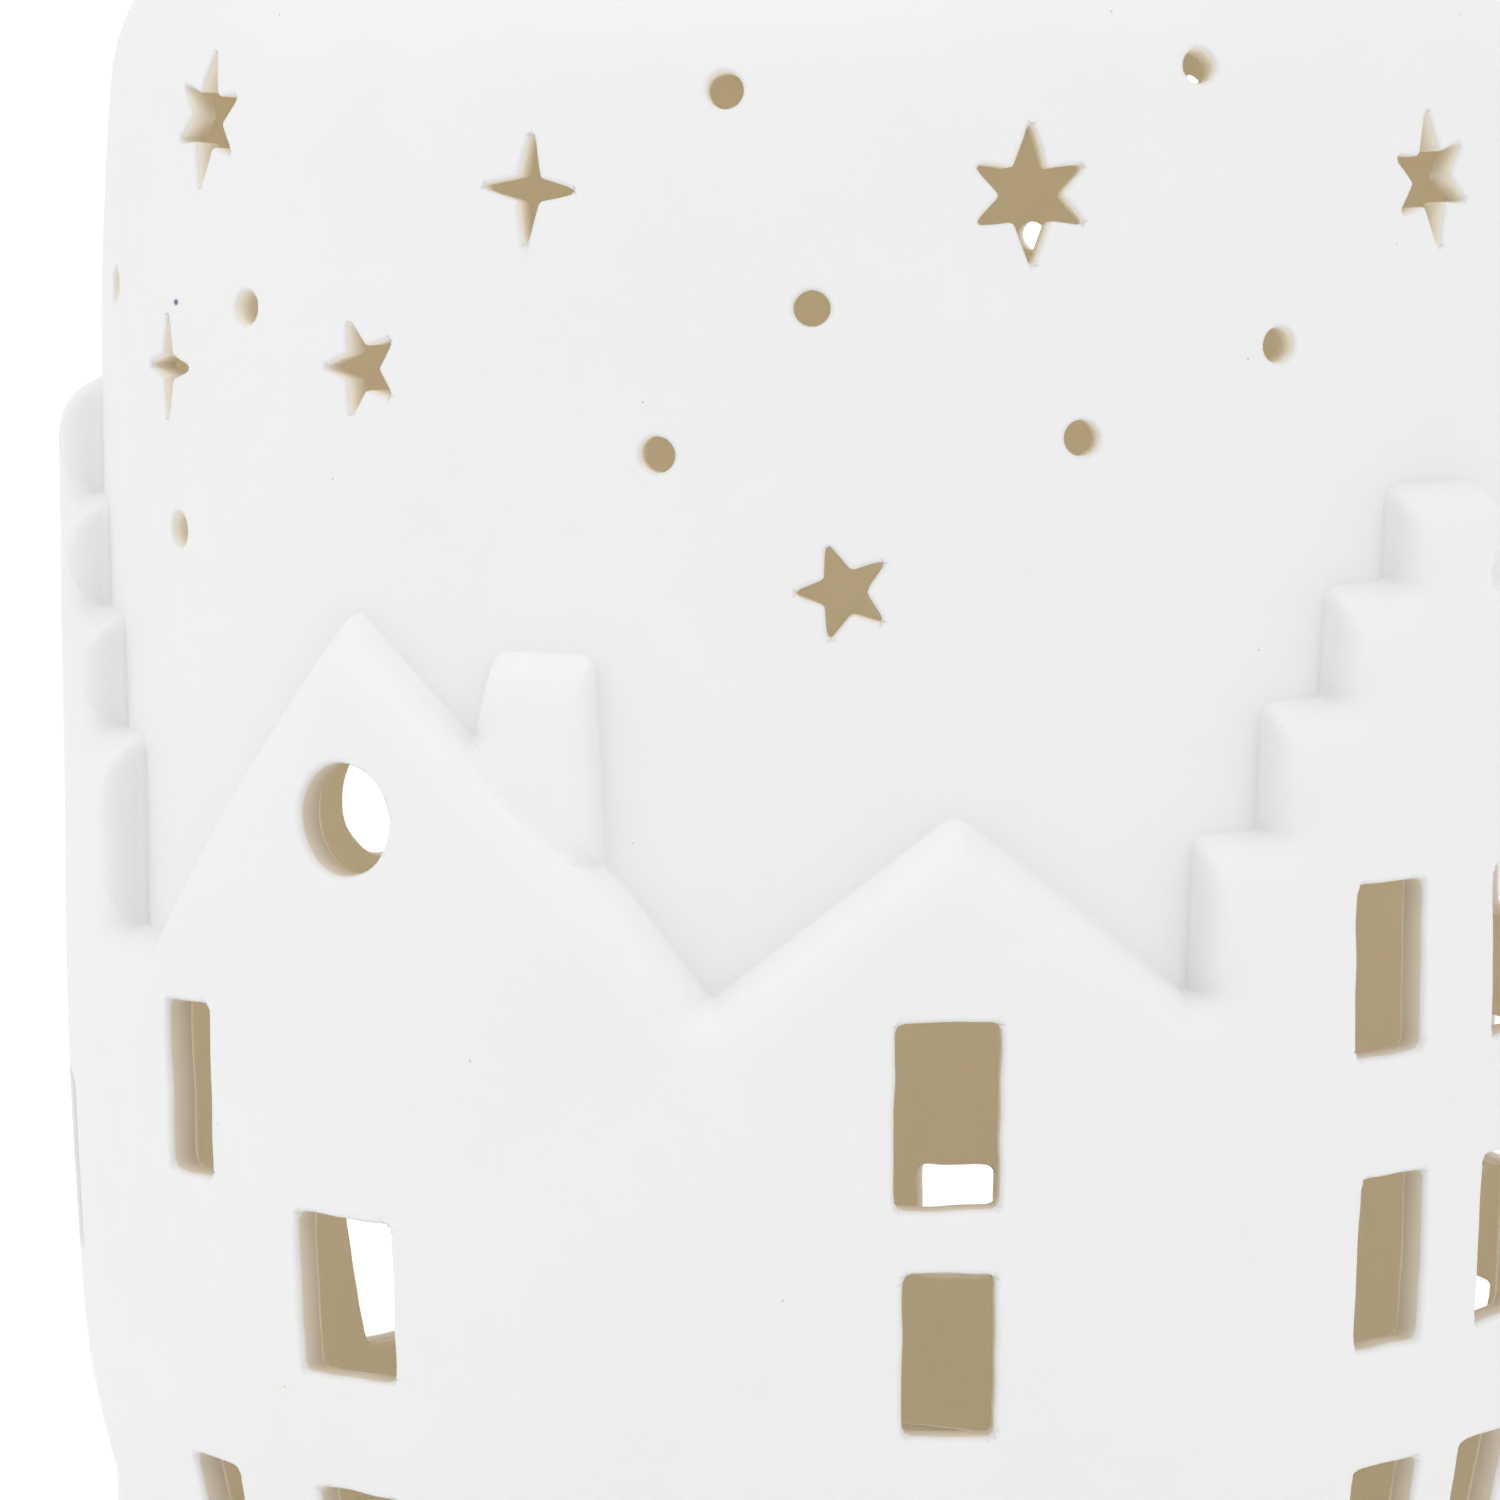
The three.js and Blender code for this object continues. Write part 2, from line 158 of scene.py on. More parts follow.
def house_radius(height):
    """Outer radius of the houses: upright, then the slow arc, then the foot arc."""
    slow = (WALL_BOTTOM - np.clip(height, FOOT_TOP, WALL_BOTTOM)) ** 2 / (2 * SLOW_ARC_RADIUS)
    below = np.maximum(0, FOOT_TOP - height)
    slope = (WALL_BOTTOM - FOOT_TOP) / SLOW_ARC_RADIUS
    return HOUSE_RADIUS - slow - slope * below - below**2 / (2 * FOOT_ARC_RADIUS)


def sky_section(up):
    """Outer radius and height of the sky wall at a distance up it, and its outward normal."""
    start = math.asin((SHOULDER_START - SHOULDER_CENTRE[1]) / SHOULDER_RADIUS)
    turn = start + np.maximum(0, up - SHOULDER_START) / SHOULDER_RADIUS
    lean = np.clip((up - LEAN_START) / (SHOULDER_START - LEAN_START), 0, 1)
    on_arc = up > SHOULDER_START
    leaning = SKY_RADIUS - LEAN * lean**1.5
    radius = np.where(on_arc, SHOULDER_CENTRE[0] + SHOULDER_RADIUS * np.cos(turn), leaning)
    height = np.where(on_arc, SHOULDER_CENTRE[1] + SHOULDER_RADIUS * np.sin(turn), up)
    tilt = np.where(on_arc, turn, start * lean**0.5)
    return radius, height, np.cos(tilt), np.sin(tilt)


def up_at(turn):
    """Distance up the wall to an angle of the shoulder arc."""
    start = math.asin((SHOULDER_START - SHOULDER_CENTRE[1]) / SHOULDER_RADIUS)
    return SHOULDER_START + SHOULDER_RADIUS * (turn - start)


def up_of_height(height):
    """Distance up the wall to a height, on the shoulder too."""
    if height <= SHOULDER_START:
        return height
    return up_at(math.asin((height - SHOULDER_CENTRE[1]) / SHOULDER_RADIUS))


# ---- outlines on the unrolled wall --------------------------------------------------------------


def across(degrees):
    return ((degrees - SEAM) % 360) * PER_DEGREE


def unrolled(line):
    """A line of [degrees, height] points on the unrolled wall, from edge to edge of it."""
    shifted = sorted(((across(angle), height) for angle, height in line), key=lambda p: p[0])
    first, last = shifted[0], shifted[-1]
    share = (GIRTH - last[0]) / (first[0] + GIRTH - last[0])
    height = last[1] + share * (first[1] - last[1])
    return np.array([(0.0, height), *shifted, (GIRTH, height)])


def line_height(line, places):
    """Height of a line at each place across the wall."""
    return np.interp(places % GIRTH, line[:, 0], line[:, 1])


def chimney_corners(roofs):
    """The four corners of each chimney, [degrees, height], with its feet on the roofs."""
    corners = []
    for left, top_left, top_right, right, top in CHIMNEYS:
        feet = line_height(roofs, np.array([across(left), across(right)]))
        corners.append([(left, feet[0]), (top_left, top), (top_right, top), (right, feet[1])])
    return corners


def chimney_foot(corners):
    """The piece of roof in front of a chimney, a little short of the chimney's sides."""
    left, right = (np.array((across(angle), height)) for angle, height in (corners[0], corners[3]))
    inset = (right - left) / np.hypot(*(right - left)) * NOOK_RADIUS
    return np.array([left + inset, right - inset])


def eased(line):
    """The line with its corners rounded: widely where it turns down, narrowly where it turns up."""
    outline = [line[0]]
    for before, here, after in zip(line[:-2], line[1:-1], line[2:]):
        back, on = before - here, after - here
        size = CORNER_RADIUS if on[0] * back[1] < on[1] * back[0] else NOOK_RADIUS
        reach = min(size, 0.45 * np.hypot(*back), 0.45 * np.hypot(*on))
        start, end = here + back / np.hypot(*back) * reach, here + on / np.hypot(*on) * reach
        for t in (0, 0.25, 0.5, 0.75, 1):
            outline.append(start * (1 - t) ** 2 + here * 2 * t * (1 - t) + end * t**2)
    return np.array([*outline, line[-1]])


def rounded(corners, radius, step):
    """A closed outline with every corner rounded, as points about a step apart."""
    count = len(corners)
    outline = []
    for i in range(count):
        before, here, after = (Vector(corners[(i + k) % count]) for k in (-1, 0, 1))
        back = (before - here).normalized()
        on = (after - here).normalized()
        half = math.acos(max(-1, min(1, back.dot(on)))) / 2
        reach = min(radius / math.tan(half), 0.45 * min((before - here).length, (after - here).length))
        start, end = here + back * reach, here + on * reach
        steps = max(2, round(math.pi * radius / step / 2) + 1)
        for k in range(steps + 1):
            t = k / steps
            outline.append(start * (1 - t) ** 2 + here * 2 * t * (1 - t) + end * t**2)
    return resampled(outline, step)


def resampled(outline, step):
    """The same closed outline with points evenly spaced along it."""
    points = np.array([tuple(p) for p in outline] + [tuple(outline[0])])
    along = np.concatenate([[0], np.cumsum(np.hypot(*np.diff(points, axis=0).T))])
    count = max(12, round(along[-1] / step))
    places = np.arange(count) * along[-1] / count
    return np.stack([np.interp(places, along, points[:, k]) for k in (0, 1)], axis=1)


def placed(outline, degrees, height):
    """An outline in real millimetres about its own centre, put on the unrolled wall."""
    up = up_of_height(height)
    on_house = height < line_height(ROOF_LINE, across(degrees))
    radius = float(house_radius(height)) if on_house else float(sky_section(np.array(up))[0])
    return outline * (SKY_RADIUS / radius, 1) + (across(degrees), up)


def polar(corners, lean):
    """Corners from radius and degrees clockwise from upright."""
    turned = [(radius, math.radians(degrees + lean)) for radius, degrees in corners]
    return [(radius * math.sin(angle), radius * math.cos(angle)) for radius, angle in turned]


def star_corners(half, lean):
    return polar(half + [(radius, angle + 180) for radius, angle in half], lean)


def six_point_star(lean):
    half = [(4.8, 0), (1.95, 35), (4.2, 62), (1.95, 90), (4.2, 118), (1.95, 145)]
    return rounded(star_corners(half, lean), 0.32, 0.3)


def four_point_star(lean):
    half = [(4.2, 0), (1.05, 45), (3.7, 90), (1.05, 135)]
    return rounded(star_corners(half, lean), 0.3, 0.3)


def five_point_star(lean):
    corners = [corner for i in range(5) for corner in ((3.4, 72 * i), (1.45, 72 * i + 36))]
    return rounded(polar(corners, -lean), 0.3, 0.3)


def round_hole(radius, step):
    count = max(18, round(2 * math.pi * radius / step))
    return np.array(polar([(radius, 360 * i / count) for i in range(count)], 0))


def uneven(outline, seed, amount):
    """The outline as a hand leaves it, out by up to the amount."""
    moved = []
    for x, y in outline:
        shift = noise.noise_vector(Vector((x * 0.35, y * 0.35, seed * 7.3)))
        moved.append((x + shift.x * amount, y + shift.y * amount))
    return np.array(moved)


def square_window(width, height):
    x, y = width / 2, height / 2
    return rounded([(-x, -y), (-x, y), (x, y), (x, -y)], 0.65, 0.45)


def hole_outlines():
    """Every hole's outline on the unrolled wall."""
    holes = [placed(uneven(square_window(w, top - low), i, 0.18), a, (low + top) / 2)
             for i, (a, w, low, top) in enumerate(WINDOWS)]
    holes += [placed(uneven(round_hole(r, 0.5), 50 + i, 0.15), a, h)
              for i, (a, h, r) in enumerate(ROUND_WINDOWS)]
    holes += [placed(uneven(round_hole(DOT_RADIUS, 0.35), 70 + i, 0.08), a, h)
              for i, (a, h) in enumerate(DOTS)]
    for shape, stars in ((six_point_star, SIX_POINT_STARS), (four_point_star, FOUR_POINT_STARS),
                         (five_point_star, FIVE_POINT_STARS)):
        holes += [placed(uneven(shape(lean), 100 + 3 * a, 0.12), a, h) for a, h, lean in stars]
    return holes


# ---- distances on the unrolled wall -------------------------------------------------------------


def distance_to(points, starts, ends, steepness=1.0):
    """Distance from each point to the nearest of a set of line pieces, longer by the steepness from
    the upright ones."""
    best = np.full(len(points), 1e9)
    for start, end in zip(starts, ends):
        line = end - start
        length = max(1e-12, float(line @ line))
        share = np.clip(((points - start) @ line) / length, 0, 1)
        upright = (line[1] ** 2 / length) ** 5
        stretch = 1 + (steepness - 1) * upright
        best = np.minimum(best, np.hypot(*(points - start - share[:, None] * line).T) * stretch)
    return best


def depth_below(line, points, steepness=1.0):
    """Distance of each point from a line on the wall, negative above it."""
    wide = np.concatenate([line - (GIRTH, 0), line, line + (GIRTH, 0)])
    wide = wide[(wide[:, 0] > -12) & (wide[:, 0] < GIRTH + 12)]
    gap = distance_to(points, wide[:-1], wide[1:], steepness)
    return np.where(points[:, 1] < line_height(line, points[:, 0]), gap, -gap)


def hole_gap(points):
    """Distance of each point from the nearest hole's outline, where it is near one, and that hole."""
    gap = np.full(len(points), 99.0)
    owner = np.full(len(points), -1)
    for i, outline in enumerate(HOLES):
        low, high = outline.min(axis=0) - 1.5, outline.max(axis=0) + 1.5
        near = np.flatnonzero(np.all((points > low) & (points < high), axis=1))
        own = distance_to(points[near], outline, np.roll(outline, -1, axis=0))
        closer = own < gap[near]
        gap[near[closer]] = own[closer]
        owner[near[closer]] = i
    return gap, owner


def inside_outline(points, outline):
    """Which points lie inside a closed outline."""
    within = np.zeros(len(points), bool)
    for (x0, y0), (x1, y1) in zip(outline, np.roll(outline, -1, axis=0)):
        if y0 == y1:
            continue
        spans = (points[:, 1] < y0) != (points[:, 1] < y1)
        cross = x0 + (points[:, 1] - y0) * (x1 - x0) / (y1 - y0)
        within ^= spans & (points[:, 0] < cross)
    return within


ROOF_LINE = unrolled(ROOFS)
CHIMNEY_CORNERS = chimney_corners(ROOF_LINE)
TOWN_LINE = unrolled(ROOFS + [corner for corners in CHIMNEY_CORNERS for corner in corners])
ROOF_LINE = eased(ROOF_LINE)
TOWN_LINE = eased(TOWN_LINE)
CHIMNEY_FEET = [chimney_foot(corners) for corners in CHIMNEY_CORNERS]
HOLES = hole_outlines()

# ---- the triangulated wall ----------------------------------------------------------------------

CREASE_RINGS = (-0.6, -0.12, 0.1, 0.24, 0.42, 0.65, 0.95, 1.3, 1.75, 2.35, 3.1, 4.0)
CREASE_STEP = 0.95
LIP_RINGS = (0.06, 0.2, 0.4, 0.7)
RIM_RINGS = (0.0, 0.07, 0.25, 0.55, RIM_RADIUS)


def offset_points(outline, gap, spacing):
    """Points a given distance outside a closed outline, without those nearer to it."""
    starts, ends = outline, np.roll(outline, -1, axis=0)
    made = []
    for start, end in zip(starts, ends):
        line = end - start
        length = float(np.hypot(*line))
        if length < 1e-6:
            continue
        side = np.array((-line[1], line[0])) / length
        count = max(1, round(length / spacing))
        for k in range(count):
            made.append(start + line * (k + 0.5) / count + side * gap)
    made = np.array(made)
    return made[distance_to(made, starts, ends) > abs(gap) * 0.97]


def steps_along(line):
    """Points a step apart along a line, with the direction of the line at each."""
    steps = []
    for start, end in zip(line[:-1], line[1:]):
        length = float(np.hypot(*(end - start)))
        count = max(1, round(length / CREASE_STEP))
        steps += [(start + (end - start) * k / count, (end - start) / length) for k in range(count)]
    return steps


def corner_points(here, before, after, gap):
    """Points at a distance round the outside of a corner, or the one point in the nook inside it."""
    turn = math.atan2(before[0] * after[1] - before[1] * after[0], float(before @ after))
    sides = [np.array((line[1], -line[0])) * math.copysign(1, gap) for line in (before, after)]
    if turn * gap <= 0:
        middle = sides[0] + sides[1]
        return [here + middle / (middle @ sides[0]) * abs(gap)]
    count = math.ceil(abs(turn * gap) / 0.45)
    fans = [sides[0] * (1 - k / count) + sides[1] * k / count for k in range(count + 1)]
    return [here + fan / np.hypot(*fan) * abs(gap) for fan in fans]


def crease_rings(line):
    """Rings of points along both sides of a line, in columns square to it, and round its corners."""
    steps = steps_along(line)
    runs = [(end - start) / np.hypot(*(end - start)) for start, end in zip(line[:-1], line[1:])]
    rings = []
    for gap in CREASE_RINGS:
        made = [place + np.array((run[1], -run[0])) * gap for place, run in steps]
        for here, before, after in zip(line[1:-1], runs[:-1], runs[1:]):
            made += corner_points(here, before, after, gap)
        made = np.array(made)
        rings.append(made[distance_to(made, line[:-1], line[1:]) > abs(gap) * 0.985])
    return np.concatenate(rings)


def thinned(points, spacing):
    """The points without any that share a cell of the given size with an earlier one."""
    cells = np.floor(points / spacing + 1e-6).astype(int)
    keep = np.unique(cells, axis=0, return_index=True)[1]
    return points[np.sort(keep)]


def wall_points():
    """All the points of the triangulation, and the edges that it has to keep."""
    top = up_at(SHOULDER_SPLIT)
    rows = [np.array((x, MOUTH + ring)) for ring in RIM_RINGS
            for x in np.arange(COLUMNS) * GIRTH / COLUMNS if x > 0]
    rows += [np.array((x, top)) for x in np.arange(1, COLUMNS) * GIRTH / COLUMNS]
    side = np.concatenate([MOUTH + np.array(RIM_RINGS), np.arange(MOUTH + 1.8, top - 0.5, 1.1), [top]])
    edge_rows = [np.array((x, y)) for x in (0.0, GIRTH) for y in side]

    lips = []
    for outline in HOLES:
        for ring in LIP_RINGS:
            spacing = 0.3 + ring * 0.6
            lips.append(thinned(offset_points(outline, ring, spacing), spacing * 0.6))

    spacing_up = GRID * math.sqrt(3) / 2
    grid = [((i + (row % 2) / 2) * GRID, MOUTH + 1.8 + row * spacing_up)
            for row in range(int((top - MOUTH - 2.6) / spacing_up) + 1) for i in range(int(GIRTH / GRID) + 1)]
    grid = np.array(grid)

    creases = [TOWN_LINE, *CHIMNEY_FEET]
    rings = crease_rings(TOWN_LINE)
    for feet in CHIMNEY_FEET:
        extra = crease_rings(feet)
        reach = np.array([np.hypot(*(rings - point).T).min() for point in extra])
        rings = np.concatenate([rings, extra[reach > 0.3]])
    rings = thinned(rings, 0.05)
    gap, _ = hole_gap(rings)
    rings = rings[gap > 0.75]
    depth = depth_below(TOWN_LINE, grid)
    gap, _ = hole_gap(grid)
    near_feet = distance_to(grid, [feet[0] for feet in CHIMNEY_FEET], [feet[1] for feet in CHIMNEY_FEET])
    grid = grid[(gap > 1.0) & ((depth > 4.9) | (depth < -1.4)) & (near_feet > 3.2)]
    lips = np.concatenate(lips)

    loose = np.concatenate([rings, lips, grid])
    loose = loose[(loose[:, 0] > 0.5) & (loose[:, 0] < GIRTH - 0.5)]
    loose = loose[(loose[:, 1] > MOUTH + 1.2) & (loose[:, 1] < top - 0.5)]
    for outline in HOLES:
        low, high = outline.min(axis=0), outline.max(axis=0)
        near = np.flatnonzero(np.all((loose > low) & (loose < high), axis=1))
        loose = np.delete(loose, near[inside_outline(loose[near], outline)], axis=0)

    points = [*rows, *edge_rows, *loose]
    edges = []
    for line in creases:
        first = len(points)
        points += [place for place, _ in steps_along(line)] + [line[-1]]
        edges += [(k, k + 1) for k in range(first, len(points) - 1)]
    for outline in HOLES:
        first = len(points)
        points += list(outline)
        edges += [(first + k, first + (k + 1) % len(outline)) for k in range(len(outline))]
    return points, edges


def triangulated_wall():
    """Points and triangles of the unrolled wall, with its holes open and its two side edges joined."""
    points, edges = wall_points()
    found, _, faces, *_ = delaunay_2d_cdt([Vector(p) for p in points], edges, [], 0, 1e-4, False)
    points = np.array([tuple(p) for p in found])
    faces = np.array(faces)
    centres = points[faces].mean(axis=1)
    open_face = np.zeros(len(faces), bool)
    for outline in HOLES:
        low, high = outline.min(axis=0), outline.max(axis=0)
        near = np.flatnonzero(np.all((centres > low) & (centres < high), axis=1))
        open_face[near[inside_outline(centres[near], outline)]] = True
    faces = faces[~open_face]

    left = np.flatnonzero(points[:, 0] < 1e-3)
    right = np.flatnonzero(points[:, 0] > GIRTH - 1e-3)
    left = left[np.argsort(points[left, 1])]
    right = right[np.argsort(points[right, 1])]
    assert len(left) == len(right), "the two side edges of the wall differ"
    joined = np.arange(len(points))
    joined[right] = left
    return points, joined[faces]


# ---- the hood -----------------------------------------------------------------------------------

RECESS_START = 2.0
RECESS_END = 5.0
LIP_REACH = 0.7
CROWN_TURNS = np.radians((74, 78, 82, 86))
DOME_RADII = (32, 27, 22, 17, 13, 10, 8, 7, 6.5, 6.25, 6.08, VENT_RADIUS)
VENT_LIP = 0.6


def rounded_edge(gap, radius):
    """How far a rounded edge falls back from its surface at a distance from where it ends."""
    short = np.clip(radius - gap, 0, radius)
    return radius - np.sqrt(radius**2 - short**2)


def ripple(angle, height, size):
    """The slight unevenness of a cast wall."""
    spots = np.stack([np.sin(angle) * size, np.cos(angle) * size, height / 52 * size], axis=1)
    return np.array([noise.noise(Vector(spot)) for spot in spots])


def flank(line, points):
    """How far the relief below a line stands out of the sky wall, from 0 to 1."""
    depth = np.clip(depth_below(line, points, SIDE_STEEPNESS), 0, FLANK_WIDTH)
    return (1 - np.exp(-depth / FLANK_SOFTNESS)) / (1 - math.exp(-FLANK_WIDTH / FLANK_SOFTNESS))


def wrapped(points, gap, owner, inside):
    """The unrolled wall's points in space, on its outside or its inside."""
    place, up = points[:, 0].copy(), points[:, 1]
    radius, height, out, rise = sky_section(up)
    house = house_radius(height)
    if inside:
        centres = np.array([outline.mean(axis=0)[0] for outline in HOLES] + [0.0])
        near = gap < LIP_REACH
        spread = (house / (house - HOUSE_WALL) - 1) * np.where(near, 1, 0)
        place = place + (place - centres[owner]) * spread
        radius, height = radius - SKY_WALL * out, height - SKY_WALL * rise
        depth = depth_below(ROOF_LINE, points)
        share = np.clip((depth - RECESS_START) / (RECESS_END - RECESS_START), 0, 1)
        share = share * share * (3 - 2 * share)
        radius = radius + share * (house - HOUSE_WALL - radius)
        sign = -1
    else:
        near_roof = depth_below(ROOF_LINE, points) < FLANK_WIDTH
        chimney = flank(TOWN_LINE, points) * (CHIMNEY_RADIUS - radius) * near_roof
        radius = radius + np.maximum(flank(ROOF_LINE, points) * (house - radius), chimney)
        sign = 1
    angle = np.radians(SEAM + place / PER_DEGREE)
    radius = radius + 0.07 * ripple(angle, height, 2.5)
    lip = np.where(owner < len(WINDOWS) + len(ROUND_WINDOWS), WINDOW_LIP, STAR_LIP)
    fall = rounded_edge(gap, lip) + rounded_edge(up - MOUTH, RIM_RADIUS)
    radius = radius - sign * fall * out
    height = height - sign * fall * rise
    return np.stack([radius * np.sin(angle), -radius * np.cos(angle), height], axis=1)


def crown_rings(wall):
    """Radius and height of the crown's rings, from the shoulder to the vent."""
    reach = SHOULDER_RADIUS - wall
    rings = [(SHOULDER_CENTRE[0] + reach * math.cos(turn), SHOULDER_CENTRE[1] + reach * math.sin(turn))
             for turn in CROWN_TURNS]
    edge_radius, edge_height = rings[-1]
    for radius in DOME_RADII:
        lift = CROWN_RISE * (1 - (radius / edge_radius) ** 2)
        fall = float(rounded_edge(np.array(radius - VENT_RADIUS), VENT_LIP))
        rings.append((radius, edge_height + lift + (fall if wall else -fall)))
    return rings


def hood_mesh():
    points, faces = triangulated_wall()
    gap, owner = hole_gap(points)
    outside = wrapped(points, gap, owner, False)
    inside = wrapped(points, gap, owner, True)
    count = len(points)

    verts = [*outside, *inside]
    polygons = [tuple(f) for f in faces]
    slots = [0] * len(faces)
    polygons += [tuple(count + i for i in reversed(f)) for f in faces]
    slots += [1] * len(faces)

    directed = {(f[k], f[(k + 1) % 3]) for f in faces for k in range(3)}
    border = [(a, b) for a, b in directed if (b, a) not in directed]
    top = up_at(SHOULDER_SPLIT)
    at_top = points[:, 1] > top - 1e-3
    at_mouth = points[:, 1] < MOUTH + 0.01
    in_town = flank(ROOF_LINE, points) > 0.5
    for a, b in sorted(border):
        if not (at_top[a] and at_top[b]):
            polygons.append((b, a, count + a, count + b))
            # Hole walls through the houses get the painted-shade tan; those through the thin sky wall get the
            # lighter colour with a painted glow.
            cut = 2 if in_town[a] else 3
            slots.append(0 if at_mouth[a] and at_mouth[b] else cut)

    ring = sorted({i for edge in border for i in edge if at_top[i]}, key=lambda i: points[i, 0])
    angles = np.radians(SEAM + points[ring, 0] / PER_DEGREE)
    last = {0: ring, 1: [count + i for i in ring]}
    for side, wall in ((0, 0.0), (1, SKY_WALL)):
        for radius, height in crown_rings(wall):
            first = len(verts)
            verts += [np.array((radius * math.sin(a), -radius * math.cos(a), height)) for a in angles]
            new = list(range(first, first + len(ring)))
            for k in range(len(ring)):
                n = (k + 1) % len(ring)
                quad = (last[side][k], last[side][n], new[n], new[k])
                polygons.append(quad if side == 0 else quad[::-1])
                slots.append(side)
            last[side] = new
    for k in range(len(ring)):
        n = (k + 1) % len(ring)
        polygons.append((last[0][k], last[0][n], last[1][n], last[1][k]))
        slots.append(0)
    return verts, polygons, slots


# ---- turned and twisted pieces ------------------------------------------------------------------


def new_object(name, verts, polygons, slots=None):
    """A smooth-shaded object from millimetre vertices."""
    mesh = bpy.data.meshes.new(name)
    metres = [tuple(float(c) * MM for c in v) for v in verts]
    mesh.from_pydata(metres, [], [tuple(map(int, p)) for p in polygons])
    used = bmesh.new()
    used.from_mesh(mesh)
    if slots:
        for face, slot in zip(used.faces, slots):
            face.material_index = slot
    bmesh.ops.delete(used, geom=[v for v in used.verts if not v.link_faces], context="VERTS")
    used.to_mesh(mesh)
    used.free()
    mesh.shade_smooth()
    mesh.update()
    made = bpy.data.objects.new(name, mesh)
    bpy.context.scene.collection.objects.link(made)
    return made


def filleted(corners):
    """An open outline from [radius, height, fillet] corners, with an arc at each corner that has a fillet."""
    outline = []
    for i, (x, y, fillet) in enumerate(corners):
        here = Vector((x, y))
        if not fillet or i in (0, len(corners) - 1):
            outline.append(here)
            continue
        back = Vector(corners[i - 1][:2]) - here
        on = Vector(corners[i + 1][:2]) - here
        reach = min(fillet, 0.49 * back.length, 0.49 * on.length)
        start, end = here + back.normalized() * reach, here + on.normalized() * reach
        for k in range(7):
            t = k / 6
            outline.append(start * (1 - t) ** 2 + here * 2 * t * (1 - t) + end * t**2)
    return outline


def turned(name, outline, segments, shape=None):
    """A turned object from an outline that runs from the axis up, out and back to it, or closes on itself."""
    verts, rings = [], []
    for radius, height in outline:
        if radius < 1e-6:
            rings.append([len(verts)])
            verts.append((0, 0, height))
            continue
        rings.append(list(range(len(verts), len(verts) + segments)))
        for k in range(segments):
            angle = 2 * math.pi * k / segments
            r, z = shape(radius, height, angle) if shape else (radius, height)
            verts.append((r * math.cos(angle), r * math.sin(angle), z))
    closed = len(rings[0]) > 1
    pairs = list(zip(rings, rings[1:])) + ([(rings[-1], rings[0])] if closed else [])
    polygons = []
    for low, high in pairs:
        for k in range(segments):
            n = (k + 1) % segments
            if len(low) == 1 and len(high) > 1:
                polygons.append((low[0], high[n], high[k]))
            elif len(high) == 1 and len(low) > 1:
                polygons.append((low[k], low[n], high[0]))
            elif len(low) > 1:
                polygons.append((low[k], low[n], high[n], high[k]))
    made = new_object(name, verts, polygons)
    outward = bmesh.new()
    outward.from_mesh(made.data)
    bmesh.ops.recalc_face_normals(outward, faces=outward.faces)
    outward.to_mesh(made.data)
    outward.free()
    return made


def porcelain_hood():
    hood = new_object("porcelain_hood", *hood_mesh())
    # The inside and the hole walls are copies of the outside's porcelain, with painted warm light, painted
    # shade and painted glows in their colours.
    hood.data.materials.append(bisque("bisque_outside", OUTSIDE, specks=True))
    hood.data.materials.append(bisque("bisque_inside_painted_warmth", PAINTED_WARM_INSIDE, painted_glow=PAINTED_GLOW_INSIDE))
    hood.data.materials.append(bisque("bisque_cut_painted_shade", PAINTED_SHADE_CUT))
    hood.data.materials.append(bisque("bisque_thin_cut_painted_light", PAINTED_LIGHT_THIN_CUT, painted_glow=PAINTED_GLOW_THIN_CUT))
    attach(hood, "hood")
    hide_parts("village_hood")
    return hood


def porcelain_dish():
    corners = [
        *[(0, 2.5, 0), (19.9, 2.5, 1.2), (21.2, 5.1, 0.9), (24, 5.0, 2), (45.6, 4.9, 3), (49.8, 8.3, 1.6)],
        *[(50.9, 9.0, 0.7), (52.4, 8.7, 0.8), (51.9, 7.2, 1.2), (48.6, 3.9, 3), (42.4, 2.3, 1.4)],
        *[(40.2, 0, 0.5), (36, 0, 0.5), (35, 2.2, 1.2), (24.4, 2.2, 1.4), (22.6, 0.55, 1.2), (0, 0.5, 0)],
    ]
    dish = turned("porcelain_dish", filleted(corners), 180)
    dish.data.materials.append(glazed_porcelain())
    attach(dish, "dish")
    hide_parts("base_dish")
    return dish


def candle_cup():
    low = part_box("tealight_cup")[0][2] / MM
    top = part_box("tealight_cup")[1][2] / MM
    corners = [
        *[(0, low + 0.55, 0), (6.8, low + 0.55, 0.3), (7.3, low + 0.3, 0.3), (16.6, low + 0.3, 0.8)],
        *[(17.9, low + 1.4, 0.9), (18.25, top - 0.4, 0.2), (18.4, top, 0.25), (18.85, top, 0.3)],
        *[(19, top - 0.4, 0.3), (18.75, top - 0.85, 0.25), (18.5, top - 0.7, 0.15)],
        *[(18.15, low + 1.3, 0.9), (16.8, low, 0.7), (7.4, low, 0.3)],
        *[(6.9, low + 0.25, 0.3), (0, low + 0.25, 0)],
    ]

    def flutes(radius, height, angle):
        share = max(0, min(1, (height - low - 1.5) / 3)) * (radius > 17.5) * (height < top - 1.2)
        return radius + 0.035 * share * math.sin(72 * angle), height

    cup = turned("candle_cup", filleted(corners), 288, flutes)
    cup.data.materials.append(drawn_aluminium())
    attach(cup, "tealight")
    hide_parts("tealight_cup")
    return cup


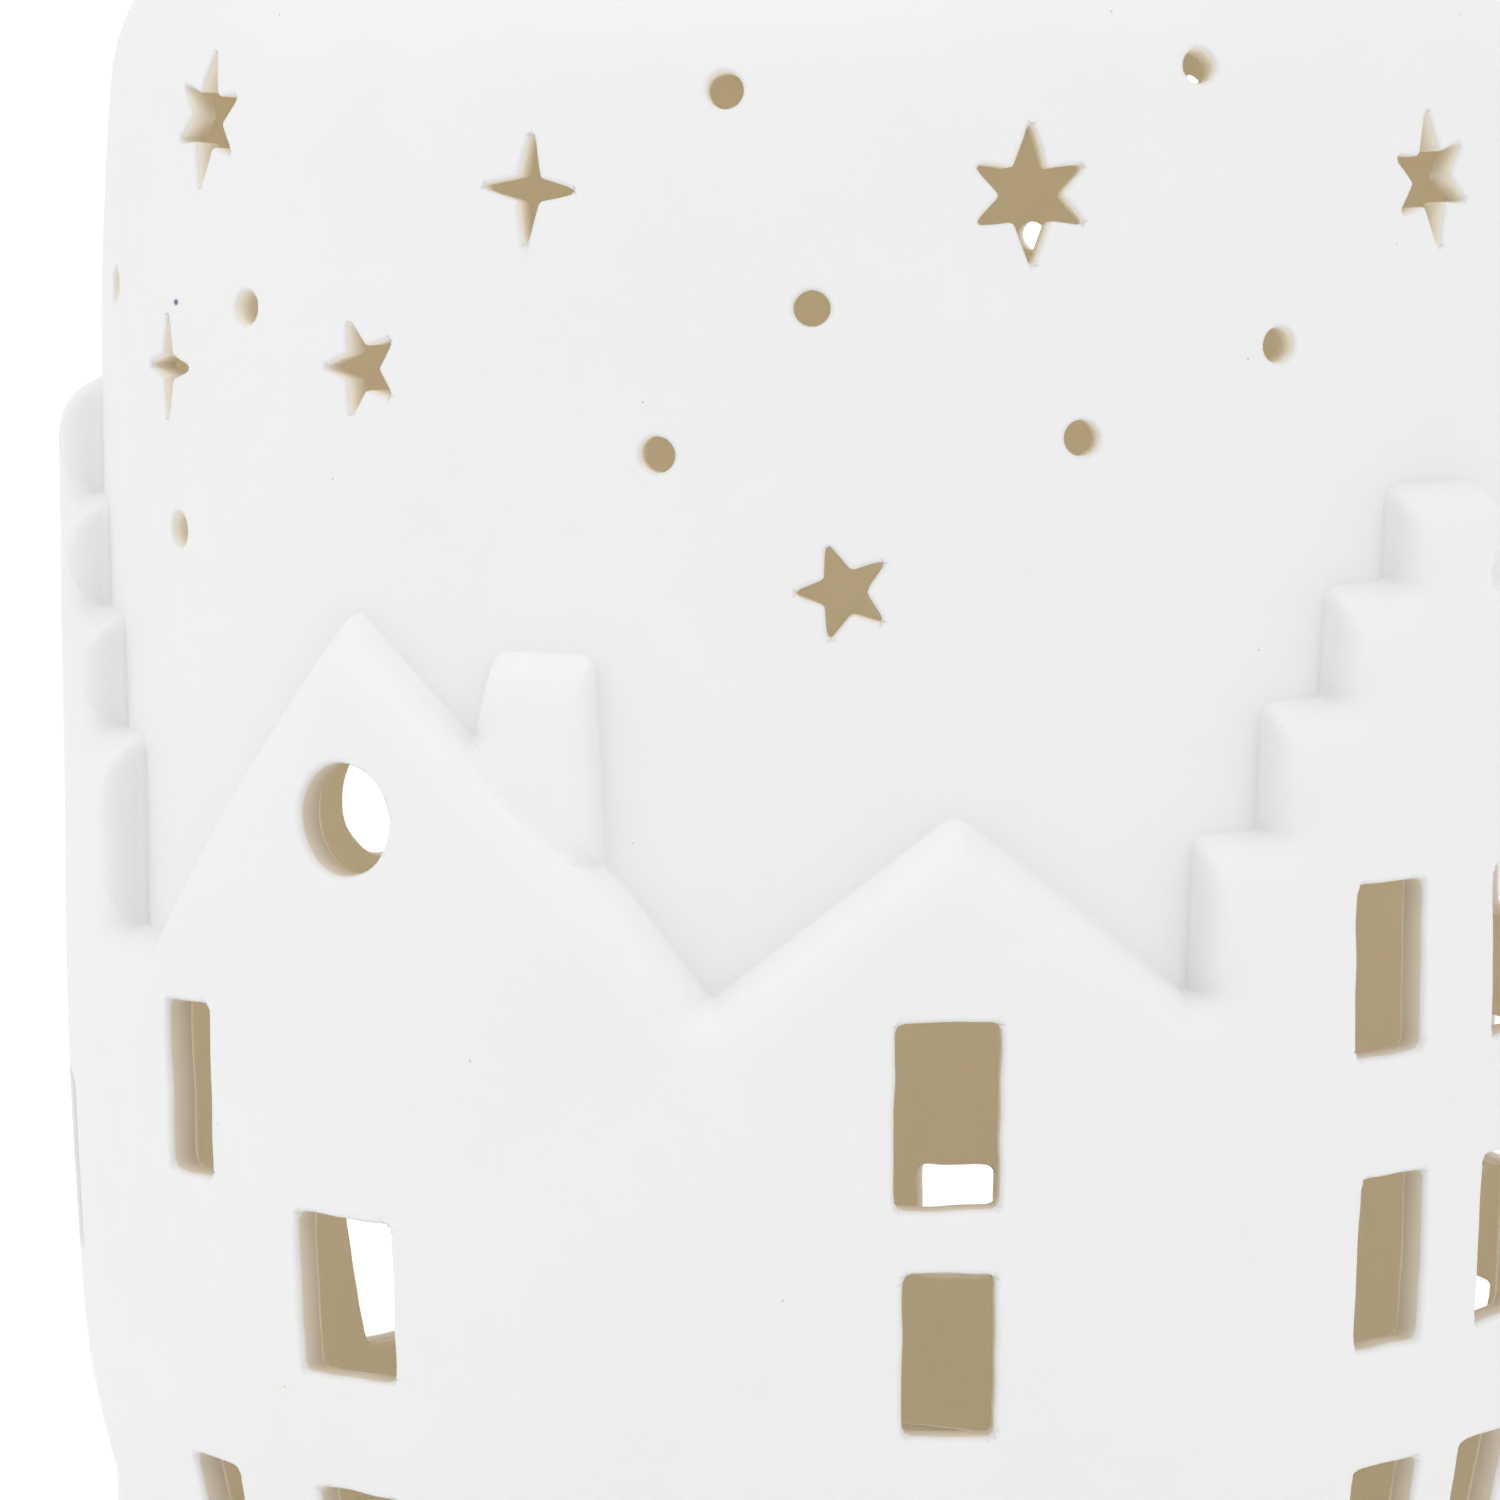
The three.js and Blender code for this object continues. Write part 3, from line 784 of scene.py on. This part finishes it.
def candle_wax():
    low, high = (corner[2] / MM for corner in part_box("tealight_wax"))
    outline = filleted([
        *[(1.15, high - 0.35, 0), (1.5, high - 0.75, 0.4), (3.5, high - 1.0, 1.5), (9, high - 0.9, 3)],
        *[(15.5, high - 0.65, 2), (17.35, high - 0.1, 0.5), (17.5, low + 1.2, 0.8), (16.2, low + 0.1, 0.6)],
        *[(7, low + 0.1, 0), (7, low + 1.0, 0), (2.1, low + 1.0, 0)],
        *[(2.1, low + 3.9, 0), (1.15, low + 3.9, 0)],
    ])

    def sunk(radius, height, angle):
        if height < high - 1.4 or radius < 1.3:
            return radius, height
        spot = Vector((radius * math.cos(angle) * 0.22, radius * math.sin(angle) * 0.22, 3.1))
        return radius, height + 0.16 * noise.noise(spot) * min(1, (17.4 - radius) / 2)

    wax = turned("candle_wax", outline, 96, sunk)
    wax.data.materials.append(paraffin())
    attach(wax, "tealight")
    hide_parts("tealight_wax")
    return wax


def pressed_sustainer():
    low, high = (corner[2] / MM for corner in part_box("wick_sustainer"))
    outline = filleted([
        *[(1.1, high, 0), (1.65, high, 0.2), (1.7, low + 0.7, 0.7)],
        *[(5.9, low + 0.55, 0.3), (6.6, low + 0.35, 0.2)],
        *[(6.55, low, 0.15), (5.8, low + 0.05, 0.2), (1.1, low + 0.1, 0)],
    ])

    def crimped(radius, height, angle):
        squeeze = max(0, min(1, (height - low - 1.2) / 0.8)) * (radius > 1.3)
        return radius - 0.16 * squeeze * (0.5 + 0.5 * math.cos(3 * angle)), height

    sustainer = turned("sustainer", outline, 72, crimped)
    sustainer.data.materials.append(tinned_steel())
    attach(sustainer, "tealight")
    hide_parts("wick_sustainer")
    return sustainer


def braided_wick():
    """Three strands wound round each other, leaning over a little at the tip."""
    low, high = (corner[2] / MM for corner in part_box("wick"))
    strand, lay, pitch, sides, steps = 0.4, 0.38, 3.2, 10, 96
    verts, polygons = [], []
    for index in range(3):
        first = len(verts)
        for step in range(steps + 1):
            share = step / steps
            height = low + (high - 0.15 - low) * share
            turn = 2 * math.pi * (height / pitch + index / 3)
            lean = 0.55 * max(0, (share - 0.72) / 0.28) ** 2
            centre = Vector((lay * math.cos(turn) + lean, lay * math.sin(turn), height))
            girth = strand * min(1, 0.35 + 12 * (1 - share)) * (1 + 0.06 * math.sin(9 * turn))
            for k in range(sides):
                angle = 2 * math.pi * k / sides
                verts.append(centre + Vector((girth * math.cos(angle), girth * math.sin(angle), 0)))
        for step in range(steps):
            for k in range(sides):
                n = (k + 1) % sides
                a, b = first + step * sides, first + (step + 1) * sides
                polygons.append((a + k, a + n, b + n, b + k))
        polygons.append(tuple(first + k for k in reversed(range(sides))))
        polygons.append(tuple(first + steps * sides + k for k in range(sides)))
    wick = new_object("braided_wick", verts, polygons)
    wick.data.materials.append(waxed_cotton())
    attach(wick, "tealight")
    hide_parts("wick")
    return wick


# ---- materials ----------------------------------------------------------------------------------

OUTSIDE = (0.73, 0.731, 0.73)
# Painted warm light: the inside is the same porcelain as the outside, tinted warm and lighter to stand in for
# the light that comes through the wall.
PAINTED_WARM_INSIDE = (0.945, 0.915, 0.83)
# Painted shade: the walls of the holes through the houses are the same porcelain, coloured a darker tan for
# the shade and warm light inside the holes.
PAINTED_SHADE_CUT = (0.68, 0.62, 0.525)
# Painted light: the walls of the holes through the thin sky wall, a lighter tan than those through the
# houses.
PAINTED_LIGHT_THIN_CUT = (0.82, 0.775, 0.685)
# Painted glow: an emission on the inside that stands in for the light coming through the thin wall.
PAINTED_GLOW_INSIDE = (0.0158, 0.0136, 0.0099)
# Painted glow: an emission on the thin hole walls that stands in for the light coming through them.
PAINTED_GLOW_THIN_CUT = (0.038, 0.032, 0.022)
COBALT_SPOT = (-57.4, 102.55, 0.00045)  # degrees, height in millimetres, size in metres


def shader(name):
    """A new node material, its tree and its Principled node."""
    material = bpy.data.materials.new(name)
    material.use_nodes = True
    tree = material.node_tree
    return material, tree, tree.nodes["Principled BSDF"]


def node(tree, kind, **inputs):
    made = tree.nodes.new(kind)
    for key, value in inputs.items():
        made.inputs[key.replace("_", " ")].default_value = value
    return made


def noise_node(tree, scale, detail=4.0, roughness=0.5, distortion=0.0):
    """Noise on the object's own coordinates, with its scale per metre."""
    where = tree.nodes.new("ShaderNodeTexCoord")
    made = node(tree, "ShaderNodeTexNoise", Scale=scale, Detail=detail, Roughness=roughness,
                Distortion=distortion)
    tree.links.new(where.outputs["Object"], made.inputs["Vector"])
    return made.outputs["Fac"]


def graded(tree, source, *stops):
    """A colour ramp over a source, from [place, colour] stops."""
    ramp = tree.nodes.new("ShaderNodeValToRGB")
    ramp.color_ramp.elements[0].position = stops[0][0]
    ramp.color_ramp.elements[0].color = (*stops[0][1], 1)
    ramp.color_ramp.elements[1].position = stops[-1][0]
    ramp.color_ramp.elements[1].color = (*stops[-1][1], 1)
    for place, colour in stops[1:-1]:
        ramp.color_ramp.elements.new(place).color = (*colour, 1)
    tree.links.new(source, ramp.inputs["Fac"])
    return ramp.outputs["Color"]


def blended(tree, share, first, second, mode="MIX"):
    """Two colours mixed by a share, which may be a link or a number."""
    mix = tree.nodes.new("ShaderNodeMix")
    mix.data_type = "RGBA"
    mix.blend_type = mode
    for socket, value in ((mix.inputs[0], share), (mix.inputs[6], first), (mix.inputs[7], second)):
        if isinstance(value, bpy.types.NodeSocket):
            tree.links.new(value, socket)
        elif isinstance(value, tuple):
            socket.default_value = (*value, 1)
        else:
            socket.default_value = value
    return mix.outputs[2]


def spread(tree, source, low, high):
    """A 0 to 1 source mapped onto a range."""
    mapped = tree.nodes.new("ShaderNodeMapRange")
    tree.links.new(source, mapped.inputs["Value"])
    mapped.inputs["From Min"].default_value = 0.3
    mapped.inputs["From Max"].default_value = 0.7
    mapped.inputs["To Min"].default_value = low
    mapped.inputs["To Max"].default_value = high
    return mapped.outputs["Result"]


def bumped(tree, principled, height, distance, strength=1.0):
    bump = node(tree, "ShaderNodeBump", Strength=strength, Distance=distance)
    tree.links.new(height, bump.inputs["Height"])
    tree.links.new(bump.outputs["Normal"], principled.inputs["Normal"])


def specks_mask(tree, scale, size, share):
    """Sparse small dots: 1 in a dot at the middle of some cells, 0 elsewhere."""
    where = tree.nodes.new("ShaderNodeTexCoord")
    cells = node(tree, "ShaderNodeTexVoronoi", Scale=scale)
    tree.links.new(where.outputs["Object"], cells.inputs["Vector"])
    dot = tree.nodes.new("ShaderNodeMath")
    dot.operation = "LESS_THAN"
    dot.inputs[1].default_value = size
    tree.links.new(cells.outputs["Distance"], dot.inputs[0])
    split = tree.nodes.new("ShaderNodeSeparateColor")
    tree.links.new(cells.outputs["Color"], split.inputs["Color"])
    chosen = tree.nodes.new("ShaderNodeMath")
    chosen.operation = "LESS_THAN"
    chosen.inputs[1].default_value = share
    tree.links.new(split.outputs["Red"], chosen.inputs[0])
    both = tree.nodes.new("ShaderNodeMath")
    both.operation = "MULTIPLY"
    tree.links.new(dot.outputs[0], both.inputs[0])
    tree.links.new(chosen.outputs[0], both.inputs[1])
    return both.outputs[0]


def spot_mask(tree, degrees, height, size):
    """1 in a small spot at one place on the sky wall, wider than it is tall, 0 elsewhere."""
    angle = math.radians(degrees)
    centre = Vector((SKY_RADIUS * math.sin(angle), -SKY_RADIUS * math.cos(angle), height)) * MM
    where = tree.nodes.new("ShaderNodeTexCoord")
    offset = tree.nodes.new("ShaderNodeVectorMath")
    offset.operation = "SUBTRACT"
    offset.inputs[1].default_value = centre
    tree.links.new(where.outputs["Object"], offset.inputs[0])
    squeezed = tree.nodes.new("ShaderNodeVectorMath")
    squeezed.operation = "MULTIPLY"
    squeezed.inputs[1].default_value = (1, 1, 1.6)
    tree.links.new(offset.outputs["Vector"], squeezed.inputs[0])
    length = tree.nodes.new("ShaderNodeVectorMath")
    length.operation = "LENGTH"
    tree.links.new(squeezed.outputs["Vector"], length.inputs[0])
    mask = tree.nodes.new("ShaderNodeMapRange")
    tree.links.new(length.outputs["Value"], mask.inputs["Value"])
    mask.inputs["From Min"].default_value = size
    mask.inputs["From Max"].default_value = size * 0.4
    return mask.outputs["Result"]


def bisque(name, colour, specks=False, painted_glow=None):
    """Unglazed cast porcelain: faint clouding, a fine grain, kiln specks outside, and where given a painted
    glow, an emission that stands in for the light that comes through the thin wall."""
    material, tree, principled = shader(name)
    dim = tuple(c * 0.985 for c in colour)
    warm = (colour[0] * 0.995, colour[1] * 0.985, colour[2] * 0.955)
    clouds = graded(tree, noise_node(tree, 70, 5, 0.6), (0.3, dim), (0.65, colour))
    stains = graded(tree, noise_node(tree, 38, 3, 0.6, 0.4), (0.6, (0, 0, 0)), (0.78, (0.5, 0.5, 0.5)))
    base = blended(tree, stains, clouds, warm)
    if specks:
        base = blended(tree, specks_mask(tree, 210, 0.016, 0.8), base, (0.5, 0.47, 0.42))
        base = blended(tree, spot_mask(tree, *COBALT_SPOT), base, (0.08, 0.1, 0.2))
    tree.links.new(base, principled.inputs["Base Color"])
    tree.links.new(spread(tree, noise_node(tree, 260, 4), 0.58, 0.72), principled.inputs["Roughness"])
    principled.inputs["Specular IOR Level"].default_value = 0.35
    # Painted glow: an emission standing in for light that comes through the wall.
    if painted_glow:
        principled.inputs["Emission Color"].default_value = (*painted_glow, 1)
        principled.inputs["Emission Strength"].default_value = 1.0
    bumped(tree, principled, noise_node(tree, 1500, 6, 0.65), 0.00002, 0.5)
    return material


def glazed_porcelain():
    """The dish's thin clear glaze over white porcelain."""
    material, tree, principled = shader("glazed_porcelain")
    clouds = graded(tree, noise_node(tree, 60, 4), (0.3, (0.855, 0.86, 0.855)), (0.7, (0.88, 0.878, 0.868)))
    specked = blended(tree, specks_mask(tree, 210, 0.016, 0.8), clouds, (0.4, 0.36, 0.3))
    tree.links.new(specked, principled.inputs["Base Color"])
    tree.links.new(spread(tree, noise_node(tree, 45, 3), 0.3, 0.36), principled.inputs["Roughness"])
    principled.inputs["Coat Weight"].default_value = 0.3
    principled.inputs["Coat Roughness"].default_value = 0.22
    bumped(tree, principled, noise_node(tree, 60, 2), 0.00002, 0.3)
    return material


def drawn_aluminium():
    material, tree, principled = shader("drawn_aluminium")
    tone = graded(tree, noise_node(tree, 420, 4), (0.3, (0.79, 0.8, 0.81)), (0.7, (0.83, 0.835, 0.84)))
    tree.links.new(tone, principled.inputs["Base Color"])
    tree.links.new(spread(tree, noise_node(tree, 700, 5), 0.27, 0.32), principled.inputs["Roughness"])
    principled.inputs["Metallic"].default_value = 1.0
    bumped(tree, principled, noise_node(tree, 900, 4), 0.000004, 0.3)
    return material


def tinned_steel():
    material, tree, principled = shader("tinned_steel")
    tone = graded(tree, noise_node(tree, 600, 4), (0.3, (0.5, 0.51, 0.52)), (0.7, (0.66, 0.66, 0.67)))
    tree.links.new(tone, principled.inputs["Base Color"])
    tree.links.new(spread(tree, noise_node(tree, 900, 4), 0.28, 0.45), principled.inputs["Roughness"])
    principled.inputs["Metallic"].default_value = 1.0
    bumped(tree, principled, noise_node(tree, 1400, 4), 0.00002, 0.4)
    return material


def paraffin():
    """Candle wax: milky, with a soft sheen and faint crystal clouds."""
    material, tree, principled = shader("paraffin")
    crystals = noise_node(tree, 160, 6, 0.7)
    tone = graded(tree, crystals, (0.35, (0.88, 0.865, 0.82)), (0.65, (0.93, 0.92, 0.885)))
    tree.links.new(tone, principled.inputs["Base Color"])
    tree.links.new(spread(tree, noise_node(tree, 300, 4), 0.36, 0.52), principled.inputs["Roughness"])
    principled.inputs["Subsurface Weight"].default_value = 0.35
    principled.inputs["Subsurface Radius"].default_value = (0.004, 0.003, 0.002)
    bumped(tree, principled, noise_node(tree, 420, 5), 0.00005, 0.4)
    return material


def waxed_cotton():
    """Cotton yarn with fine fibres along the strands."""
    material, tree, principled = shader("waxed_cotton")
    tone = graded(tree, noise_node(tree, 2600, 5, 0.7), (0.3, (0.74, 0.69, 0.56)), (0.7, (0.92, 0.88, 0.78)))
    tree.links.new(tone, principled.inputs["Base Color"])
    principled.inputs["Roughness"].default_value = 0.85
    principled.inputs["Sheen Weight"].default_value = 0.4
    bumped(tree, principled, noise_node(tree, 4200, 5, 0.7), 0.00008, 0.8)
    return material


def studio_white():
    material, tree, principled = shader("studio_white")
    tone = graded(tree, noise_node(tree, 3, 2), (0.3, (0.9, 0.9, 0.9)), (0.7, (0.91, 0.91, 0.91)))
    tree.links.new(tone, principled.inputs["Base Color"])
    principled.inputs["Roughness"].default_value = 0.9
    principled.inputs["Emission Color"].default_value = (1, 1, 1, 1)
    principled.inputs["Emission Strength"].default_value = 0.1
    return material


# ---- studio -------------------------------------------------------------------------------------

CAMERA_DISTANCE = 0.38995
CAMERA_HEIGHT = 0.1177
CAMERA_PITCH = math.atan(680 / 5500)
CAMERA_YAW = math.atan(94 / 5500)
FOCAL_LENGTH = 132.0
SENSOR = 36.0
DARK_SIDE = Vector((-0.26, -0.96, -0.05)).normalized()
ROOM_STRENGTH = 2.4
# The room's brightness from the side opposite the dark side, 0, round to the dark side, 1
ROUND_THE_ROOM = (
    *((0.0, 1.0), (0.11, 0.556), (0.275, 0.356), (0.5, 0.556)),
    *((0.725, 0.756), (0.89, 0.556), (1.0, 0.111)),
)


def camera():
    data = bpy.data.cameras.new("camera")
    data.lens = FOCAL_LENGTH
    data.sensor_width = SENSOR
    data.clip_start = 0.01
    made = bpy.data.objects.new("camera", data)
    made.location = (0, -CAMERA_DISTANCE, CAMERA_HEIGHT)
    made.rotation_euler = (math.pi / 2 - CAMERA_PITCH, 0, CAMERA_YAW)
    bpy.context.scene.collection.objects.link(made)
    bpy.context.scene.camera = made


def softbox(name, location, width, height, power):
    """A soft rectangular light that faces the middle of the holder."""
    data = bpy.data.lights.new(name, "AREA")
    data.shape = "RECTANGLE"
    data.size = width
    data.size_y = height
    data.energy = power
    made = bpy.data.objects.new(name, data)
    made.location = location
    aim = Vector((0, 0, 0.07)) - Vector(location)
    made.rotation_euler = aim.to_track_quat("-Z", "Y").to_euler()
    bpy.context.scene.collection.objects.link(made)


def white_room():
    """A white world, brightest overhead and darker towards DARK_SIDE, where the camera stands."""
    world = bpy.data.worlds.new("white_room")
    world.use_nodes = True
    tree = world.node_tree
    where = tree.nodes.new("ShaderNodeTexCoord")
    facing = tree.nodes.new("ShaderNodeVectorMath")
    facing.operation = "DOT_PRODUCT"
    facing.inputs[1].default_value = DARK_SIDE
    tree.links.new(where.outputs["Generated"], facing.inputs[0])
    half = tree.nodes.new("ShaderNodeMapRange")
    tree.links.new(facing.outputs["Value"], half.inputs["Value"])
    half.inputs["From Min"].default_value = -1.0
    side = graded(tree, half.outputs["Result"], *[(place, (tone,) * 3) for place, tone in ROUND_THE_ROOM])
    split = tree.nodes.new("ShaderNodeSeparateXYZ")
    tree.links.new(where.outputs["Generated"], split.inputs["Vector"])
    above = graded(tree, split.outputs["Z"], (0.0, (0.74,) * 3), (0.45, (0.8,) * 3), (1.0, (1.0,) * 3))
    tree.links.new(blended(tree, 1.0, side, above, "MULTIPLY"), tree.nodes["Background"].inputs["Color"])
    tree.nodes["Background"].inputs["Strength"].default_value = ROOM_STRENGTH
    return world


def studio():
    mesh = bpy.data.meshes.new("floor")
    half = 3.0
    corners = [(-half, -half, 0), (half, -half, 0), (half, half, 0), (-half, half, 0)]
    mesh.from_pydata(corners, [], [(0, 1, 2, 3)])
    floor = bpy.data.objects.new("floor", mesh)
    floor.data.materials.append(studio_white())
    bpy.context.scene.collection.objects.link(floor)
    bpy.context.scene.world = white_room()
    bpy.context.scene.view_settings.view_transform = "Standard"
    bpy.context.scene.cycles.max_bounces = 32
    bpy.context.scene.cycles.diffuse_bounces = 32
    softbox("top_light", (0.0, -0.2, 1.0), 0.8, 0.8, 0.9)
    softbox("left_light", (-1.0, -0.15, 0.5), 0.7, 0.9, 0.5)
    softbox("right_light", (1.0, -0.3, 0.4), 0.7, 0.9, 0.05)


camera()
studio()
porcelain_hood()
porcelain_dish()
candle_cup()
candle_wax()
pressed_sustainer()
braided_wick()
